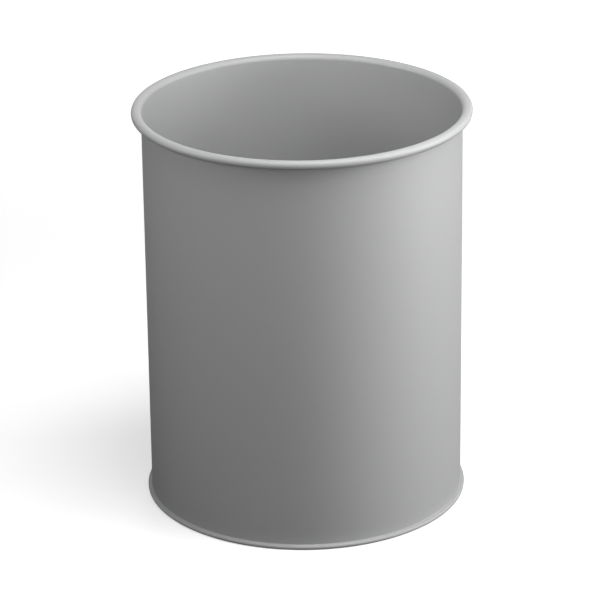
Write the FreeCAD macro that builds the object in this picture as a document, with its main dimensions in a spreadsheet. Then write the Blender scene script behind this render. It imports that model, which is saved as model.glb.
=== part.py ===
import FreeCAD, Part
import math
import os

import Sketcher

# Round office waste bin of painted sheet steel, open at the top. A rolled wall is closed by one
# butt weld at the back, its top edge is rolled into a hollow rim, and its foot is flanged out
# and locked in the rolled edge of a pressed base plate.
# Millimetres, +Z up, origin at the centre of the circle that the bin stands on, front at -Y.

# Sweeps of bends and turned pieces, in degrees, and headings in a sketch.
quarterTurn = "90"
halfTurn = "180"
fullTurn = "360"
rightAngle = 90
outwards = 0
down = -90

# How a sketch numbers the points of a piece of its outline, its origin and its upright axis.
startIndex, endIndex, centreIndex = 1, 2, 3
sketchOrigin = (-1, startIndex)
uprightAxisIndex = -2

drivingDimensions = [
    # name, value, what it is
    ("total_height", 315, "floor to top of rim"),
    ("wall_radius", 122.4, "outer face of the wall"),
    ("wall_sheet", 0.6, "thickness of the wall's sheet"),
    ("rim_shoulder", 3.4, "inside radius where the wall turns out into the rim"),
    ("rim_flat", 0.95, "level stretch on top of the rim"),
    ("rim_roll", 2.65, "inside radius of the rim's half turn"),
    ("rim_tuck", 0.6, "inside radius where the rolled edge turns up inside the rim"),
    ("rim_edge", 0.4, "straight end of the rolled edge"),
    ("rim_edge_gap", 0.3, "rolled edge to the wall"),
    ("flange_bend", 0.6, "inside radius where the wall turns out at its foot"),
    ("seam_flat", 0.7, "level stretch of the foot seam"),
    ("flange_curl", 0.45, "inside radius of the wall's curl inside the foot seam"),
    ("flange_edge", 0.2, "straight end of the wall's curl"),
    ("seam_gap", 0.05, "between the two sheets in the foot seam"),
    ("seam_edge_gap", 0.15, "edge of the foot seam to the wall"),
    ("base_sheet", 0.6, "thickness of the base plate's sheet"),
    ("upstand", 2.4, "straight side of the base plate inside the wall"),
    ("panel_bend", 1.2, "inside radius between the base panel and its side"),
    ("bead_bend", 5, "inside radius at the foot of a stiffening bead"),
    ("bead_crown", 7.15, "inside radius on top of a stiffening bead"),
    ("bead_angle", 28, "slope of a stiffening bead, degrees"),
    ("inner_bead_share", 0.36, "radius of the inner bead over the wall's radius"),
    ("outer_bead_share", 0.72, "radius of the outer bead over the wall's radius"),
    ("weld_width", 3, "side weld, measured round the wall"),
    ("weld_crown", 0.1, "how far the side weld stands proud of the wall"),
]

# Sizes that several pieces share, written in the spreadsheet's names.
flangeReach = "(dims.wall_radius + dims.flange_bend + dims.seam_flat)"
curlOuter = "(dims.flange_curl + dims.wall_sheet)"
rollInside = "(dims.flange_curl + dims.wall_sheet + dims.seam_gap)"
seamCentreHeight = "(dims.base_sheet + dims.seam_gap + dims.wall_sheet + dims.flange_curl)"
wallStart = "(dims.base_sheet + dims.seam_gap + dims.wall_sheet + dims.flange_bend)"
wallEnd = "(dims.total_height - dims.wall_sheet - dims.rim_shoulder)"
footBend = "(dims.flange_bend + dims.wall_sheet + dims.seam_gap)"
beadHalf = "(sin(dims.bead_angle) * (dims.bead_bend + dims.bead_crown + dims.base_sheet))"
weldAngle = "(dims.weld_width / dims.wall_radius * 180 / pi)"

doc = FreeCAD.newDocument("waste_bin")


def makeDimensionSheet():
    sheet = doc.addObject("Spreadsheet::Sheet", "dims")
    for row, (name, value, note) in enumerate(drivingDimensions, start=1):
        sheet.set("A%d" % row, str(value))
        sheet.set("B%d" % row, note)
        sheet.setAlias("A%d" % row, name)
    doc.recompute()
    return sheet


def planeOf(body, role):
    return next(item for item in body.Origin.OriginFeatures if item.Role == role)


def newSketch(body, name, role):
    sketch = body.newObject("Sketcher::SketchObject", name)
    sketch.AttachmentSupport = [(planeOf(body, role), "")]
    sketch.MapMode = "FlatFace"
    return sketch


def valueOf(expression):
    return float(dimensions.evalExpression(expression))


def constrain(sketch, *arguments, size=None):
    index = sketch.addConstraint(Sketcher.Constraint(*arguments))
    if size is not None:
        sketch.setExpression("Constraints[%d]" % index, size)


def place(sketch, direction, point, distance):
    constrain(sketch, direction, *sketchOrigin, *point, valueOf(distance), size=distance)


def headingVector(degrees):
    angle = math.radians(degrees)
    return FreeCAD.Vector(math.cos(angle), math.sin(angle), 0)


def angleFrom(centre, point):
    offset = point - centre
    return math.atan2(offset.y, offset.x)


class SheetSection:
    # Draws the section of one bent sheet: two parallel faces, traced as straight runs and bends,
    # and closed by a square edge at each end. Left and right are as seen along the trace.

    def __init__(self, sketch, thickness, startX, startY, heading):
        self.sketch = sketch
        self.thickness = thickness
        self.heading = heading
        self.left = FreeCAD.Vector(valueOf(startX) if startX else 0, valueOf(startY), 0)
        self.right = self.left + headingVector(heading - rightAngle) * valueOf(thickness)
        self.start = (startX, startY)
        self.firstEnds = (self.left, self.right)
        self.exits = None
        self.firstEntries = None

    def join(self, entries):
        if self.exits is None:
            self.firstEntries = entries
            return
        for before, after in zip(self.exits, entries):
            constrain(self.sketch, "Tangent", before[0], before[1], after[0], after[1])

    def run(self, length):
        step = headingVector(self.heading) * valueOf(length)
        pieces = []
        for point in (self.left, self.right):
            pieces.append(self.sketch.addGeometry(Part.LineSegment(point, point + step), False))
        self.join([(piece, startIndex) for piece in pieces])
        if self.exits is None:
            level = "Horizontal" if self.heading == outwards else "Vertical"
            constrain(self.sketch, level, pieces[0])
        constrain(self.sketch, "Parallel", pieces[0], pieces[1])
        constrain(self.sketch, "Distance", pieces[0], valueOf(length), size=length)
        self.exits = [(piece, endIndex) for piece in pieces]
        self.left = self.left + step
        self.right = self.right + step

    def bend(self, side, sweepDegrees, insideRadius):
        sweep = valueOf(sweepDegrees)
        inside = valueOf(insideRadius)
        outside = inside + valueOf(self.thickness)
        turnsLeft = side == "left"
        towards = headingVector(self.heading + (rightAngle if turnsLeft else -rightAngle))
        centre = (self.left if turnsLeft else self.right) + towards * inside
        radii = (inside, outside) if turnsLeft else (outside, inside)
        turn = FreeCAD.Rotation(FreeCAD.Vector(0, 0, 1), sweep if turnsLeft else -sweep)
        pieces = []
        ends = []
        for point, radius in zip((self.left, self.right), radii):
            end = centre + turn.multVec(point - centre)
            first, last = (point, end) if turnsLeft else (end, point)
            circle = Part.Circle(centre, FreeCAD.Vector(0, 0, 1), radius)
            firstAngle = angleFrom(centre, first)
            arc = Part.ArcOfCircle(circle, firstAngle, firstAngle + math.radians(sweep))
            pieces.append(self.sketch.addGeometry(arc, False))
            ends.append(end)
        entry, leave = (startIndex, endIndex) if turnsLeft else (endIndex, startIndex)
        self.join([(piece, entry) for piece in pieces])
        constrain(self.sketch, "Coincident", pieces[0], centreIndex, pieces[1], centreIndex)
        insidePiece = pieces[0] if turnsLeft else pieces[1]
        constrain(self.sketch, "Radius", insidePiece, inside, size=insideRadius)
        sweepAngle = sweepDegrees + " * 1 deg"
        constrain(self.sketch, "Angle", pieces[0], math.radians(sweep), size=sweepAngle)
        self.exits = [(piece, leave) for piece in pieces]
        self.left, self.right = ends
        self.heading = self.heading + (sweep if turnsLeft else -sweep)

    def close(self):
        leftFirst, rightFirst = self.firstEntries
        leftLast, rightLast = self.exits
        startEdge = self.sketch.addGeometry(Part.LineSegment(*self.firstEnds), False)
        constrain(self.sketch, "Coincident", startEdge, startIndex, *leftFirst)
        constrain(self.sketch, "Coincident", startEdge, endIndex, *rightFirst)
        constrain(self.sketch, "Perpendicular", startEdge, leftFirst[0])
        constrain(self.sketch, "Distance", startEdge, valueOf(self.thickness), size=self.thickness)
        endEdge = self.sketch.addGeometry(Part.LineSegment(self.left, self.right), False)
        constrain(self.sketch, "Coincident", endEdge, startIndex, *leftLast)
        constrain(self.sketch, "Coincident", endEdge, endIndex, *rightLast)
        constrain(self.sketch, "Perpendicular", endEdge, leftLast[0])
        startX, startY = self.start
        if startX:
            place(self.sketch, "DistanceX", leftFirst, startX)
        else:
            constrain(self.sketch, "PointOnObject", *leftFirst, uprightAxisIndex)
        place(self.sketch, "DistanceY", leftFirst, startY)


def drawWallSection(sketch):
    # From the edge hidden in the foot seam, out of the seam, up the wall and round the rim.
    startX = flangeReach + " + " + curlOuter
    startY = seamCentreHeight + " + dims.flange_edge"
    section = SheetSection(sketch, "dims.wall_sheet", startX, startY, down)
    section.run("dims.flange_edge")
    section.bend("right", quarterTurn, "dims.flange_curl")
    section.run("dims.seam_flat")
    section.bend("right", quarterTurn, "dims.flange_bend")
    section.run(wallEnd + " - " + wallStart)
    section.bend("right", quarterTurn, "dims.rim_shoulder")
    section.run("dims.rim_flat")
    section.bend("right", halfTurn, "dims.rim_roll")
    tuckReach = "(dims.rim_edge_gap + dims.wall_sheet + dims.rim_tuck)"
    section.run("dims.rim_shoulder + dims.rim_flat - " + tuckReach)
    section.bend("right", quarterTurn, "dims.rim_tuck")
    section.run("dims.rim_edge")
    section.close()


def drawBaseSection(sketch):
    # From the axis along the raised panel, down inside the wall, and round the wall's flange.
    panelTop = wallStart + " + dims.upstand + dims.panel_bend + dims.base_sheet"
    sideReach = "(dims.wall_radius - dims.wall_sheet - dims.seam_gap)"
    panelEdge = "(" + sideReach + " - dims.base_sheet - dims.panel_bend)"
    innerBead = "dims.wall_radius * dims.inner_bead_share"
    outerBead = "dims.wall_radius * dims.outer_bead_share"
    section = SheetSection(sketch, "dims.base_sheet", None, panelTop, outwards)
    section.run(innerBead + " - " + beadHalf)
    drawBead(section)
    section.run(outerBead + " - " + innerBead + " - 2 * " + beadHalf)
    drawBead(section)
    section.run(panelEdge + " - " + outerBead + " - " + beadHalf)
    section.bend("right", quarterTurn, "dims.panel_bend")
    section.run("dims.upstand")
    section.bend("left", quarterTurn, footBend)
    section.run("dims.seam_flat")
    section.bend("left", halfTurn, rollInside)
    section.run("dims.flange_bend + dims.seam_flat - dims.seam_edge_gap")
    section.close()


def drawBead(section):
    section.bend("left", "dims.bead_angle", "dims.bead_bend")
    section.bend("right", "2 * dims.bead_angle", "dims.bead_crown")
    section.bend("left", "dims.bead_angle", "dims.bead_bend")


def revolve(body, sketch, name, angle):
    revolution = body.newObject("PartDesign::Revolution", name)
    revolution.Profile = sketch
    revolution.ReferenceAxis = (planeOf(body, "Z_Axis"), [""])
    revolution.Midplane = True
    revolution.setExpression("Angle", angle)
    sketch.Visibility = False


def makeSideWall():
    # The sketch faces the front, so the wall's two ends meet at the back, a weld's width apart.
    body = doc.addObject("PartDesign::Body", "side_wall")
    sketch = newSketch(body, "wall_section", "YZ_Plane")
    sketch.AttachmentOffset = FreeCAD.Placement(
        FreeCAD.Vector(0, 0, 0), FreeCAD.Rotation(FreeCAD.Vector(0, 1, 0), 2 * rightAngle)
    )
    drawWallSection(sketch)
    revolve(body, sketch, "rolled_wall", fullTurn + " - " + weldAngle)
    return body


def makeSideWeld():
    # The butt weld has the wall's own section, and a low flat crown outside on its straight part.
    body = doc.addObject("PartDesign::Body", "side_seam_weld")
    sketch = newSketch(body, "weld_section", "YZ_Plane")
    drawWallSection(sketch)
    revolve(body, sketch, "weld_seam", weldAngle)
    crownSketch = newSketch(body, "crown_section", "YZ_Plane")
    inner = "dims.wall_radius - dims.wall_sheet / 2"
    outer = "dims.wall_radius + dims.weld_crown"
    places = [(inner, wallStart), (outer, wallStart), (outer, wallEnd), (inner, wallEnd)]
    corners = [FreeCAD.Vector(valueOf(across), valueOf(up), 0) for across, up in places]
    for index, corner in enumerate(corners):
        following = corners[(index + 1) % len(corners)]
        crownSketch.addGeometry(Part.LineSegment(corner, following), False)
    for index, level in enumerate(["Horizontal", "Vertical", "Horizontal", "Vertical"]):
        following = (index + 1) % len(corners)
        constrain(crownSketch, "Coincident", index, endIndex, following, startIndex)
        constrain(crownSketch, level, index)
    for index in (0, 2):
        across, up = places[index]
        place(crownSketch, "DistanceX", (index, startIndex), across)
        place(crownSketch, "DistanceY", (index, startIndex), up)
    revolve(body, crownSketch, "weld_crown", weldAngle)
    return body


def makeBasePlate():
    body = doc.addObject("PartDesign::Body", "base_plate")
    sketch = newSketch(body, "base_section", "YZ_Plane")
    drawBaseSection(sketch)
    revolve(body, sketch, "pressed_base", fullTurn)
    return body


dimensions = makeDimensionSheet()
subparts = [makeSideWall(), makeSideWeld(), makeBasePlate()]
for subpart in subparts:
    subpart.Label = subpart.Name
    subpart.Placement = FreeCAD.Placement()
doc.recompute()

for item in doc.Objects:
    if "Invalid" in item.State or "Error" in item.State:
        raise RuntimeError("%s failed: %s" % (item.Name, item.State))
    if item.TypeId == "Sketcher::SketchObject" and not item.FullyConstrained:
        raise RuntimeError("%s isn't fully constrained" % item.Name)

os.makedirs("parts", exist_ok=True)
for subpart in subparts:
    shape = subpart.Shape
    if shape.isNull() or not shape.isValid() or len(shape.Solids) != 1:
        raise RuntimeError("%s has no single valid solid" % subpart.Label)
    shape.exportStep("parts/%s.step" % subpart.Label)
    box = shape.BoundBox
    print("%s: %.1f mm3, z %.2f to %.2f, x %.2f to %.2f" % (
        subpart.Label, shape.Volume, box.ZMin, box.ZMax, box.XMin, box.XMax
    ))
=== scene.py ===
import math

import bpy
from mathutils import Matrix, Vector


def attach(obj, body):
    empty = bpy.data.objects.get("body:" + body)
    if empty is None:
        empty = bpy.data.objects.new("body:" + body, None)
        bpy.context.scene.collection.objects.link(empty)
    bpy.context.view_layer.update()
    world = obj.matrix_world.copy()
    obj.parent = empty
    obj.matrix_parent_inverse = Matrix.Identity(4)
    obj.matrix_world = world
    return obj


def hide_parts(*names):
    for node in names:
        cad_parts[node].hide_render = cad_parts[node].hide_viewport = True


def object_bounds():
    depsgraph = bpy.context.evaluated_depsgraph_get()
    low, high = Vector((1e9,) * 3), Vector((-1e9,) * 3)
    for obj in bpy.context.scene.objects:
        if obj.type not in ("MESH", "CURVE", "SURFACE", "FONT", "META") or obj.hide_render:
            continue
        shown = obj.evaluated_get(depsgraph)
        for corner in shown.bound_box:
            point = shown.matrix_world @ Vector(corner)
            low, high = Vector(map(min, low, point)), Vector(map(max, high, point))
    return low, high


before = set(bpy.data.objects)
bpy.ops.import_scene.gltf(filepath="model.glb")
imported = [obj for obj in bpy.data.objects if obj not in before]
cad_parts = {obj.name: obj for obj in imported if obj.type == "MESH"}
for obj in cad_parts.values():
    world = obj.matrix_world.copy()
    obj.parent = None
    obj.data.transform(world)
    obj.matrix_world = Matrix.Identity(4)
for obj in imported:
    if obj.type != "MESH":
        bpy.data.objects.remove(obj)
cadLow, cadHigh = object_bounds()
print("frame loaded:", sorted(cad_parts))

mm = 0.001
quarterTurn = 90           # degrees
halfTurn = 180
fullTurn = 360
segmentsRound = 256        # columns of faces in one full turn
mergeDistance = 0.01       # millimetres
smoothBelow = 40           # degrees; edges with a smaller angle are shaded smooth


def deselectEverything():
    if bpy.context.object and bpy.context.object.mode != "OBJECT":
        bpy.ops.object.mode_set(mode="OBJECT")
    bpy.ops.object.select_all(action="DESELECT")


def pickOut(piece):
    deselectEverything()
    piece.select_set(True)
    bpy.context.view_layer.objects.active = piece


def clearMeshSelection(piece, kind):
    # leaves the piece in object mode, ready for its points or faces to be picked by place
    pickOut(piece)
    bpy.ops.object.mode_set(mode="EDIT")
    bpy.ops.mesh.select_mode(type=kind)
    bpy.ops.mesh.select_all(action="DESELECT")
    bpy.ops.object.mode_set(mode="OBJECT")


def startSection(name, radius, height):
    # a small plane merged to one point: the sheet's section is drawn on from it
    deselectEverything()
    bpy.ops.mesh.primitive_plane_add(size=mm, location=(radius * mm, 0, height * mm))
    bpy.ops.object.transform_apply(location=True, rotation=False, scale=False)
    piece = bpy.context.object
    piece.name = piece.data.name = name
    bpy.ops.object.mode_set(mode="EDIT")
    bpy.ops.mesh.select_all(action="SELECT")
    bpy.ops.mesh.merge(type="CENTER")
    return piece


def straightRun(outwards, upwards, steps=1):
    step = (outwards * mm / steps, 0, upwards * mm / steps)
    for _ in range(steps):
        bpy.ops.mesh.extrude_region_move(TRANSFORM_OT_translate={"value": step})


def bend(centreRadius, centreHeight, degrees, steps):
    # degrees above zero turn the section upwards as it runs outwards
    bpy.ops.mesh.spin(
        steps=steps,
        angle=math.radians(degrees),
        center=(centreRadius * mm, 0, centreHeight * mm),
        axis=(0, 1, 0),
    )


def turnSection(degrees):
    # transform.rotate turns the other way when Blender has no window
    bpy.ops.mesh.select_all(action="SELECT")
    bpy.ops.transform.rotate(value=-math.radians(degrees), orient_axis="Z", center_override=(0, 0, 0))


def spinRound(degrees, steps):
    bpy.ops.mesh.select_all(action="SELECT")
    bpy.ops.mesh.spin(steps=steps, angle=-math.radians(degrees), center=(0, 0, 0), axis=(0, 0, 1))
    bpy.ops.mesh.select_all(action="SELECT")
    bpy.ops.mesh.remove_doubles(threshold=mergeDistance * mm)
    bpy.ops.mesh.normals_make_consistent(inside=False)
    bpy.ops.object.mode_set(mode="OBJECT")


def giveSheetThickness(piece, sheet):
    # half of the thickness goes to each side of the section
    solid = piece.modifiers.new("sheet", "SOLIDIFY")
    solid.thickness = sheet * mm
    solid.offset = 0
    solid.use_even_offset = True
    solid.use_quality_normals = True
    bpy.ops.object.modifier_apply(modifier=solid.name)


def shadeRound(piece):
    pickOut(piece)
    bpy.ops.object.shade_smooth_by_angle(angle=math.radians(smoothBelow))


# The wall's section in millimetres, along the middle of the sheet
sideWall = {
    "sheet": 0.6,
    "wallRadius": 122.1,
    "bottom": 1.85,           # where the straight wall starts
    "top": 311.0,             # and where it ends
    "rows": 26,               # rows of faces up the straight wall
    "shoulderBend": 3.7,      # bends are radii
    "shoulderSteps": 12,      # steps are faces along a bend
    "rimBend": 2.95,
    "rimSteps": 22,
    "underRun": 2.85,         # runs and edges are straight
    "tuckBend": 0.9,
    "tuckSteps": 6,
    "tuckEdge": 0.4,
    "flangeBend": 0.9,
    "flangeRun": 0.7,
    "curlBend": 0.75,
    "footSteps": 5,           # for the flange's bend and the curl's
    "curlEdge": 0.2,
    "seamWidth": 3.0,         # room left for the weld at the back
}


def drawWallSection(name, rows):
    # from the edge hidden in the foot seam, up the wall and round the rim to its tucked edge
    wall = sideWall
    curlRadius = wall["wallRadius"] + wall["flangeBend"] + wall["flangeRun"]
    curlHeight = wall["bottom"] - wall["flangeBend"] + wall["curlBend"]
    piece = startSection(name, curlRadius + wall["curlBend"], curlHeight + wall["curlEdge"])
    straightRun(0, -wall["curlEdge"])
    bend(curlRadius, curlHeight, -quarterTurn, wall["footSteps"])
    straightRun(-wall["flangeRun"], 0)
    bend(wall["wallRadius"] + wall["flangeBend"], wall["bottom"], -quarterTurn, wall["footSteps"])
    straightRun(0, wall["top"] - wall["bottom"], rows)
    bend(wall["wallRadius"] + wall["shoulderBend"], wall["top"], -quarterTurn, wall["shoulderSteps"])
    rimRadius = cadHigh.x / mm - wall["sheet"] / 2 - wall["rimBend"]    # reaches as far as the frame's rim
    straightRun(rimRadius - wall["wallRadius"] - wall["shoulderBend"], 0)
    rimTop = wall["top"] + wall["shoulderBend"]
    bend(rimRadius, rimTop - wall["rimBend"], -halfTurn, wall["rimSteps"])
    straightRun(-wall["underRun"], 0)
    tuckHeight = rimTop - 2 * wall["rimBend"] + wall["tuckBend"]
    bend(rimRadius - wall["underRun"], tuckHeight, -quarterTurn, wall["tuckSteps"])
    straightRun(0, wall["tuckEdge"])
    return piece


# The wall: one sheet round the bin, open at the back where the weld closes it
seamTurn = math.degrees(sideWall["seamWidth"] / (sideWall["wallRadius"] + sideWall["sheet"] / 2))
wallPiece = drawWallSection("sideWallSheet", sideWall["rows"])
turnSection(quarterTurn + seamTurn / 2)
spinRound(fullTurn - seamTurn, segmentsRound - 1)
giveSheetThickness(wallPiece, sideWall["sheet"])
shadeRound(wallPiece)
print("side wall:", len(wallPiece.data.polygons), "faces")

# The weld: the same section over the gap, with a low crown on the outside of the straight wall
sideSeamWeld = {
    "steps": 6,               # strips across the weld
    "rows": 206,              # one row of faces to each half ripple
    "crown": 0.08,            # millimetres that its middle stands proud of the wall outside
    "ripple": 0.02,
    "rippleColumns": (0, 1),  # counted from its middle
    "outerFrom": 0.25,        # the outer face, in shares of the sheet out from its middle
    "outerTo": 0.75,
    "tolerance": 0.1,         # of a row or a strip
}
weldPiece = drawWallSection("sideSeamBead", sideSeamWeld["rows"])
turnSection(quarterTurn - seamTurn / 2)
spinRound(seamTurn, sideSeamWeld["steps"])
giveSheetThickness(weldPiece, sideWall["sheet"])


def raiseWeld(piece, columns, everySecondRow, rise):
    # moves strips of the weld's outer face outwards; columns counts from its middle
    wall = sideWall
    weld = sideSeamWeld
    near = weld["tolerance"]
    clearMeshSelection(piece, "VERT")
    strip = math.radians(seamTurn) / weld["steps"]
    rowHeight = (wall["top"] - wall["bottom"]) * mm / weld["rows"]
    for point in piece.data.vertices:
        turn = math.atan2(point.co.x, point.co.y) / strip
        row = (point.co.z - wall["bottom"] * mm) / rowHeight
        sheetShare = (math.hypot(point.co.x, point.co.y) / mm - wall["wallRadius"]) / wall["sheet"]
        onWall = -near < row < weld["rows"] + near and weld["outerFrom"] < sheetShare < weld["outerTo"]
        inStrips = any(abs(abs(turn) - column) < near for column in columns)
        point.select = onWall and inStrips and not (everySecondRow and round(row) % 2 == 0)
    bpy.ops.object.mode_set(mode="EDIT")
    bpy.ops.transform.translate(value=(0, rise * mm, 0))
    bpy.ops.object.mode_set(mode="OBJECT")


halfStrips = sideSeamWeld["steps"] // 2
for column in range(halfStrips):
    raiseWeld(weldPiece, (column,), False, sideSeamWeld["crown"] * (1 - (column / halfStrips) ** 2))
raiseWeld(weldPiece, sideSeamWeld["rippleColumns"], True, sideSeamWeld["ripple"])
shadeRound(weldPiece)
print("side seam weld:", len(weldPiece.data.polygons), "faces")

# The base plate's section in millimetres, from its centre outwards
basePlate = {
    "sheet": 0.6,
    "panelHeight": 5.75,
    "panelSteps": 4,          # rings of faces on each level part of the panel
    "beadRadii": (44.06, 88.13),
    "beadFootBend": 5.3,
    "beadFootSteps": 5,
    "beadCrownBend": 7.45,
    "beadCrownSteps": 12,
    "beadAngle": 28,
    "panelEdge": 119.95,
    "panelBend": 1.5,
    "upstand": 2.4,
    "footBend": 1.55,
    "sideSteps": 8,           # for the bends above and below the upstand
    "footRun": 0.7,
    "rollBend": 1.4,
    "rollSteps": 18,
    "topRun": 1.15,
}


def drawBead(radius, reach):
    # a level run from reach to the bead, then the bead; gives back how far the section has come
    base = basePlate
    turn = base["beadAngle"]
    halfWidth = (base["beadFootBend"] + base["beadCrownBend"]) * math.sin(math.radians(turn))
    rise = (base["beadFootBend"] + base["beadCrownBend"]) * (1 - math.cos(math.radians(turn)))
    footHeight = base["panelHeight"] + base["beadFootBend"]
    crownHeight = base["panelHeight"] + rise - base["beadCrownBend"]
    straightRun(radius - halfWidth - reach, 0, base["panelSteps"])
    bend(radius - halfWidth, footHeight, turn, base["beadFootSteps"])
    bend(radius, crownHeight, -2 * turn, base["beadCrownSteps"])
    bend(radius + halfWidth, footHeight, turn, base["beadFootSteps"])
    return radius + halfWidth


# The base: one pressed disc, its beads ringed about the centre, its edge rolled round the wall's flange
base = basePlate
basePiece = startSection("basePressing", 0, base["panelHeight"])
reach = 0
for beadRadius in base["beadRadii"]:
    reach = drawBead(beadRadius, reach)
straightRun(base["panelEdge"] - reach, 0, base["panelSteps"])
bend(base["panelEdge"], base["panelHeight"] - base["panelBend"], -quarterTurn, base["sideSteps"])
straightRun(0, -base["upstand"])
footRadius = base["panelEdge"] + base["panelBend"] + base["footBend"]
footHeight = base["panelHeight"] - base["panelBend"] - base["upstand"]
bend(footRadius, footHeight, quarterTurn, base["sideSteps"])
straightRun(base["footRun"], 0)
bend(footRadius + base["footRun"], base["sheet"] / 2 + base["rollBend"], halfTurn, base["rollSteps"])
straightRun(-base["topRun"], 0)
spinRound(fullTurn, segmentsRound)
giveSheetThickness(basePiece, base["sheet"])

# Paint that fills the crease between the foot seam and the wall, as a ring of its own in the same piece
creasePaint = {
    "lap": 0.25,              # millimetres, down behind the top of the seam
    "gap": 0.15,              # as wide as it is there
    "fillet": 0.55,
    "filletSteps": 6,
}
crease = creasePaint
wallFace = sideWall["wallRadius"] + sideWall["sheet"] / 2
seamTop = base["sheet"] + 2 * base["rollBend"]
creasePiece = startSection("creasePaint", wallFace, seamTop - crease["lap"])
straightRun(crease["gap"], 0)
straightRun(0, crease["lap"])
straightRun(crease["fillet"] - crease["gap"], 0)
bend(wallFace + crease["fillet"], seamTop + crease["fillet"], -quarterTurn, crease["filletSteps"])
straightRun(0, -crease["fillet"] - crease["lap"])
spinRound(fullTurn, segmentsRound)
pickOut(creasePiece)
basePiece.select_set(True)
bpy.context.view_layer.objects.active = basePiece
bpy.ops.object.join()
shadeRound(basePiece)
print("base plate:", len(basePiece.data.polygons), "faces")


def newMaterial(name):
    material = bpy.data.materials.new(name)
    material.use_nodes = True
    nodes = material.node_tree.nodes
    links = material.node_tree.links
    nodes.clear()
    return material, nodes, links


# Satin silver-grey powder coat over sheet steel
silverPaint = {
    "colour": (0.452, 0.456, 0.455, 1),
    "paleColour": (0.476, 0.480, 0.479, 1),
    "metallic": 0.12,         # the share of flakes, which give all the sheen
    "specularLevel": 0.0,
    "edgeTint": 0.3,          # the flakes turn darker towards a slanting view
    "roughness": 0.5,
    "roughnessSpread": 0.04,
    "peelScale": 900,
    "peelDetail": 1,
    "peelHeight": 0.012,      # millimetres
    "peelStrength": 1,
    "flakeScale": 3800,
    "flakeDetail": 0,
    "patchScale": 7,
    "patchDetail": 3,
    "patchLow": 0.3,          # tones of the patches that get the least and the most roughness
    "patchHigh": 0.7,
}

# The same coat over the weld's ground outer face: coarser, and a little deeper in tone
overWeldPaint = {
    **silverPaint,
    "colour": (0.411, 0.415, 0.414, 1),
    "paleColour": (0.433, 0.437, 0.436, 1),
    "peelScale": 450,
    "peelHeight": 0.03,
}


def addNoise(nodes, links, place, scale, detail):
    noise = nodes.new("ShaderNodeTexNoise")
    noise.inputs["Scale"].default_value = scale
    noise.inputs["Detail"].default_value = detail
    links.new(place.outputs["Object"], noise.inputs["Vector"])
    return noise.outputs["Fac"]


def makePaint(name, coat):
    material, nodes, links = newMaterial(name)
    output = nodes.new("ShaderNodeOutputMaterial")
    paint = nodes.new("ShaderNodeBsdfPrincipled")
    place = nodes.new("ShaderNodeTexCoord")
    peel = addNoise(nodes, links, place, coat["peelScale"], coat["peelDetail"])
    flake = addNoise(nodes, links, place, coat["flakeScale"], coat["flakeDetail"])
    patch = addNoise(nodes, links, place, coat["patchScale"], coat["patchDetail"])
    colour = nodes.new("ShaderNodeMix")
    colour.data_type = "RGBA"
    colour.inputs["A"].default_value = coat["colour"]
    colour.inputs["B"].default_value = coat["paleColour"]
    links.new(flake, colour.inputs["Factor"])
    links.new(colour.outputs["Result"], paint.inputs["Base Color"])
    rough = nodes.new("ShaderNodeMapRange")
    rough.inputs["From Min"].default_value = coat["patchLow"]
    rough.inputs["From Max"].default_value = coat["patchHigh"]
    rough.inputs["To Min"].default_value = coat["roughness"] - coat["roughnessSpread"]
    rough.inputs["To Max"].default_value = coat["roughness"] + coat["roughnessSpread"]
    links.new(patch, rough.inputs["Value"])
    links.new(rough.outputs["Result"], paint.inputs["Roughness"])
    bump = nodes.new("ShaderNodeBump")
    bump.inputs["Strength"].default_value = coat["peelStrength"]
    bump.inputs["Distance"].default_value = coat["peelHeight"] * mm
    links.new(peel, bump.inputs["Height"])
    links.new(bump.outputs["Normal"], paint.inputs["Normal"])
    paint.inputs["Metallic"].default_value = coat["metallic"]
    paint.inputs["Specular IOR Level"].default_value = coat["specularLevel"]
    tint = coat["edgeTint"]
    paint.inputs["Specular Tint"].default_value = (tint, tint, tint, 1)
    links.new(paint.outputs["BSDF"], output.inputs["Surface"])
    return material


def paintWeldFace(piece, material):
    # gives the weld's outer face, from the foot seam up to the rim, its own coat
    piece.data.materials.append(material)
    clearMeshSelection(piece, "FACE")
    outerRadius = sideWall["wallRadius"] + sideWall["sheet"] * sideSeamWeld["outerFrom"]
    for face in piece.data.polygons:
        outside = math.hypot(face.center.x, face.center.y) / mm > outerRadius
        face.select = outside and face.center.z / mm < sideWall["top"]
    bpy.ops.object.mode_set(mode="EDIT")
    piece.active_material_index = len(piece.data.materials) - 1
    bpy.ops.object.material_slot_assign()
    bpy.ops.object.mode_set(mode="OBJECT")


paintMaterial = makePaint("silverPaint", silverPaint)
for piece, node in ((wallPiece, "side_wall"), (weldPiece, "side_seam_weld"), (basePiece, "base_plate")):
    piece.data.materials.clear()
    piece.data.materials.append(paintMaterial)
    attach(piece, "root")
    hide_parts(node)
paintWeldFace(weldPiece, makePaint("silverPaintOverWeld", overWeldPaint))
print("painted and riding on the frame")


# The studio: a plain pale floor, a plain pale surround and soft boxes
def seenDirectly(nodes, links):
    # 1 where the eye, a reflection or clear stuff looks at it, 0 where it only gives light
    path = nodes.new("ShaderNodeLightPath")
    first = nodes.new("ShaderNodeMath")
    second = nodes.new("ShaderNodeMath")
    first.operation = second.operation = "MAXIMUM"
    links.new(path.outputs["Is Camera Ray"], first.inputs[0])
    links.new(path.outputs["Is Glossy Ray"], first.inputs[1])
    links.new(first.outputs["Value"], second.inputs[0])
    links.new(path.outputs["Is Transmission Ray"], second.inputs[1])
    return second.outputs["Value"]


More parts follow.
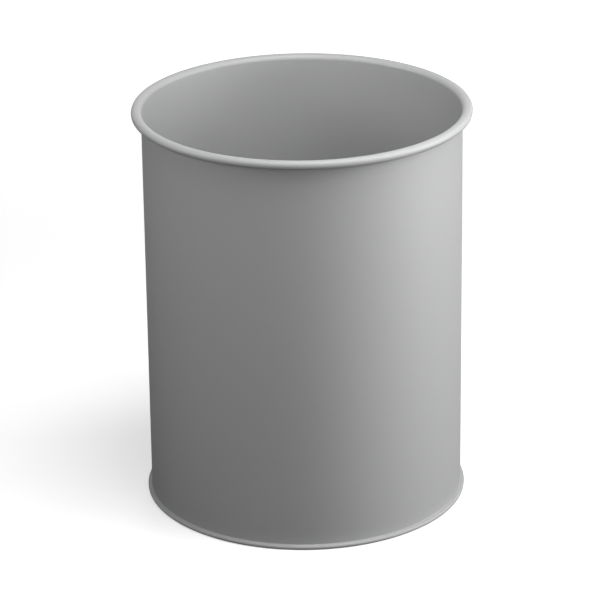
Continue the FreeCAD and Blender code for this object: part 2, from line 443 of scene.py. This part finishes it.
floor = {
    "size": 14.0,
    "colour": (0.90, 0.90, 0.90, 1),         # as it looks
    "bounceColour": (0.04, 0.04, 0.04, 1),   # as it lights the bin from below
    "roughness": 0.9,
    "ownWhite": (1, 1, 1, 1),
    "paleness": 0.45,        # strength of its own white near the bin, where it shows the shadow
    "farPaleness": 0.97,     # and further off, where the lamps hardly reach
    "paleFrom": 0.5,         # metres from the bin's axis
    "paleTo": 1.6,
}


def makeFloor():
    deselectEverything()
    bpy.ops.mesh.primitive_plane_add(size=floor["size"], location=(0, 0, 0))
    plane = bpy.context.object
    plane.name = "studioFloor"
    material, nodes, links = newMaterial("paleFloor")
    output = nodes.new("ShaderNodeOutputMaterial")
    surface = nodes.new("ShaderNodeBsdfPrincipled")
    look = nodes.new("ShaderNodeMix")
    look.data_type = "RGBA"
    look.inputs["A"].default_value = floor["bounceColour"]
    look.inputs["B"].default_value = floor["colour"]
    links.new(seenDirectly(nodes, links), look.inputs["Factor"])
    links.new(look.outputs["Result"], surface.inputs["Base Color"])
    surface.inputs["Roughness"].default_value = floor["roughness"]
    surface.inputs["Emission Color"].default_value = floor["ownWhite"]
    place = nodes.new("ShaderNodeTexCoord")
    away = nodes.new("ShaderNodeVectorMath")
    away.operation = "LENGTH"
    links.new(place.outputs["Object"], away.inputs[0])
    paler = nodes.new("ShaderNodeMapRange")
    paler.interpolation_type = "SMOOTHSTEP"
    paler.inputs["From Min"].default_value = floor["paleFrom"]
    paler.inputs["From Max"].default_value = floor["paleTo"]
    paler.inputs["To Min"].default_value = floor["paleness"]
    paler.inputs["To Max"].default_value = floor["farPaleness"]
    links.new(away.outputs["Value"], paler.inputs["Value"])
    paleness = nodes.new("ShaderNodeMath")
    paleness.operation = "MULTIPLY"
    links.new(seenDirectly(nodes, links), paleness.inputs[0])
    links.new(paler.outputs["Result"], paleness.inputs[1])
    links.new(paleness.outputs["Value"], surface.inputs["Emission Strength"])
    links.new(surface.outputs["BSDF"], output.inputs["Surface"])
    plane.data.materials.append(material)


world = {
    "colour": (1.0, 1.0, 1.0, 1),
    "strength": 0.05,        # as it lights the bin
    "seenStrength": 1,       # as it looks: plain white
}


def makeWorld():
    surround = bpy.data.worlds.new("paleSurround")
    bpy.context.scene.world = surround
    surround.use_nodes = True
    nodes = surround.node_tree.nodes
    links = surround.node_tree.links
    nodes.clear()
    output = nodes.new("ShaderNodeOutputWorld")
    background = nodes.new("ShaderNodeBackground")
    background.inputs["Color"].default_value = world["colour"]
    strength = nodes.new("ShaderNodeMapRange")
    strength.inputs["To Min"].default_value = world["strength"]
    strength.inputs["To Max"].default_value = world["seenStrength"]
    links.new(seenDirectly(nodes, links), strength.inputs["Value"])
    links.new(strength.outputs["Result"], background.inputs["Strength"])
    links.new(background.outputs["Background"], output.inputs["Surface"])


def aimAt(thing, target, roll=0):
    direction = Vector(target) - thing.location
    turn = direction.to_track_quat("-Z", "Y").to_matrix() @ Matrix.Rotation(math.radians(roll), 3, "Z")
    thing.rotation_euler = turn.to_euler()


# Square soft boxes: place, target and width in metres, spread is the angle that the light fans out over
softBoxes = {
    "right": {
        "place": (3.26, 0, 0.73), "target": (0, 0, 0.16),
        "width": 1.5, "watts": 51, "spread": 180,
    },
    "rightLow": {
        "place": (0.56, -0.16, 0.32), "target": (0, 0, 0.16),
        "width": 0.3, "watts": 0.57, "spread": 180,
    },
    "rightHigh": {
        "place": (0.41, -0.22, 0.55), "target": (0, 0, 0.16),
        "width": 0.3, "watts": 1.1, "spread": 180,
    },
    "behind": {
        "place": (0, 3.3, 0.9), "target": (0, 0, 0.16),
        "width": 1.2, "watts": 22, "spread": 180,
    },
    "overhead": {
        "place": (0, -0.3, 1.0), "target": (0, -0.3, 0),
        "width": 0.6, "watts": 3.2, "spread": 180,
    },
    "ceiling": {
        "place": (0.5, -0.5, 3.0), "target": (0.5, -0.5, 0),
        "width": 1.0, "watts": 22, "spread": 180,
    },
    "front": {
        "place": (0, -1.13, 0.81), "target": (0, 0, 0.46),
        "width": 0.7, "watts": 0.24, "spread": 50,
    },
    "left": {
        "place": (-1.09, -0.29, 0.81), "target": (0, 0, 0.46),
        "width": 0.7, "watts": 0.54, "spread": 50,
    },
}


def makeSoftBox(name, settings):
    bpy.ops.object.light_add(type="AREA", location=settings["place"])
    lamp = bpy.context.object
    lamp.name = name
    lamp.data.shape = "SQUARE"
    lamp.data.size = settings["width"]
    lamp.data.energy = settings["watts"]
    lamp.data.spread = math.radians(settings["spread"])
    lamp.visible_camera = False
    aimAt(lamp, settings["target"])


makeFloor()
makeWorld()
deselectEverything()
for name, settings in softBoxes.items():
    makeSoftBox(name, settings)
bpy.context.scene.view_settings.view_transform = "Standard"
print("studio ready:", len(softBoxes), "soft boxes")

# The camera looks from the photograph's direction, from a little further off, and has no shift
camera = {
    "distance": 2.568,       # metres from the aim point
    "elevation": 22.2,
    "frameWidth": 600,       # pixels, as the photograph
    "focalPixels": 3300,     # in the same pixels
    "roll": -0.72,           # the bin's foot leans to the right in the photograph
    "aimRight": -0.0032,     # the aim point, in metres from the middle of the bin's foot
    "aimUp": 0.1548,
    "sensorWidth": 36,
    "clipEnd": 50,
}
deselectEverything()
bpy.ops.object.camera_add()
eye = bpy.context.object
eye.name = "photoCamera"
eye.data.sensor_width = camera["sensorWidth"]
eye.data.lens = camera["focalPixels"] / camera["frameWidth"] * camera["sensorWidth"]
eye.data.clip_end = camera["clipEnd"]
aim = Vector((camera["aimRight"], 0, camera["aimUp"]))
elevation = math.radians(camera["elevation"])
eye.location = aim + camera["distance"] * Vector((0, -math.cos(elevation), math.sin(elevation)))
aimAt(eye, aim, camera["roll"])
bpy.context.scene.camera = eye
print("camera ready")

bpy.context.view_layer.update()
